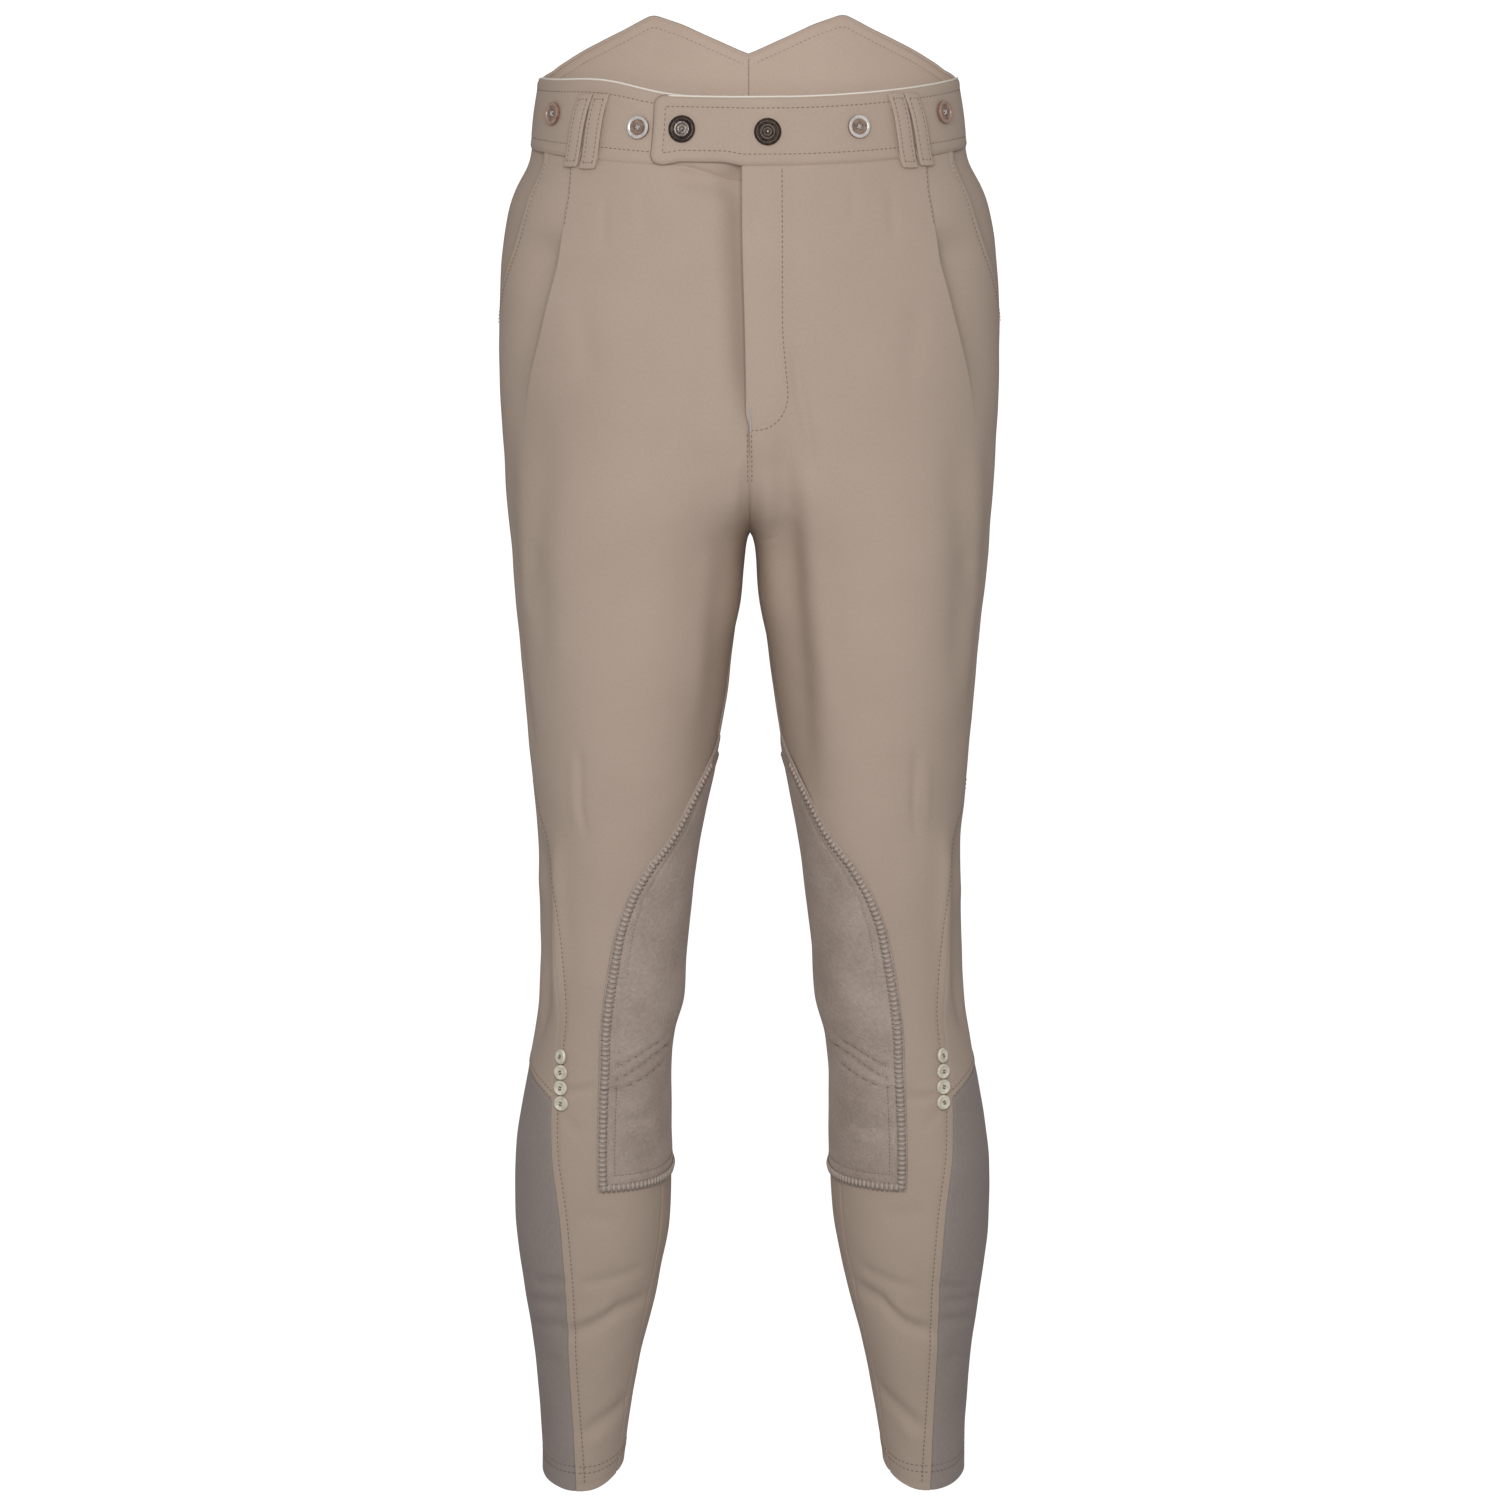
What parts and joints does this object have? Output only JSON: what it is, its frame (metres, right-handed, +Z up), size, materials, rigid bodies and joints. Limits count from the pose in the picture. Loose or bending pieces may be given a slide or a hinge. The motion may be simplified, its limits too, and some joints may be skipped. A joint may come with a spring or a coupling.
{
  "type": "riding breeches",
  "caption": "Hollow riding breeches, worn shape: high fishtail back with brace buttons, snapped waistband, pleated front, slanted pockets, suede knee patches and stretch calf panels.",
  "frame": {"origin": "middle of the waist, halfway up the waistband at the side seams, where the wearer holds it up", "axes": "+Z up the body, +X towards the wearer's left side, -Y towards the front"},
  "size_m": [0.3562, 0.251, 1.068],
  "materials": {
    "twill": "matt cotton twill, beige",
    "stretch": "smooth stretch knit, grey",
    "suede": "matt suede, grey beige",
    "corozo": "polished brown button with a pale rim",
    "shell": "pearly cream",
    "gunmetal": "dark antique metal"
  },
  "bodies": {
    "root": {"front_left": "twill", "front_shin_left": "twill", "back_left": "twill", "back_shin_left": "twill", "pocket_facing_left": "twill", "waistband_left": "twill", "fishtail_left": "twill", "calf_panel_left": "stretch", "knee_patch_left": "suede", "belt_loop_front_inner_left": "twill", "belt_loop_front_outer_left": "twill", "belt_loop_back_inner_left": "twill", "belt_loop_back_outer_left": "twill", "brace_button_front_inner_left": "corozo", "brace_button_front_outer_left": "corozo", "brace_button_back_left": "corozo", "knee_button_1_left": "shell", "knee_button_2_left": "shell", "knee_button_3_left": "shell", "knee_button_4_left": "shell", "front_right": "twill", "front_shin_right": "twill", "back_right": "twill", "back_shin_right": "twill", "pocket_facing_right": "twill", "waistband_right": "twill", "fishtail_right": "twill", "calf_panel_right": "stretch", "knee_patch_right": "suede", "belt_loop_front_inner_right": "twill", "belt_loop_front_outer_right": "twill", "belt_loop_back_inner_right": "twill", "belt_loop_back_outer_right": "twill", "brace_button_front_inner_right": "corozo", "brace_button_front_outer_right": "corozo", "brace_button_back_right": "corozo", "knee_button_1_right": "shell", "knee_button_2_right": "shell", "knee_button_3_right": "shell", "knee_button_4_right": "shell", "snap_tab": "gunmetal", "snap_band": "gunmetal"}
  },
  "joints": []
}
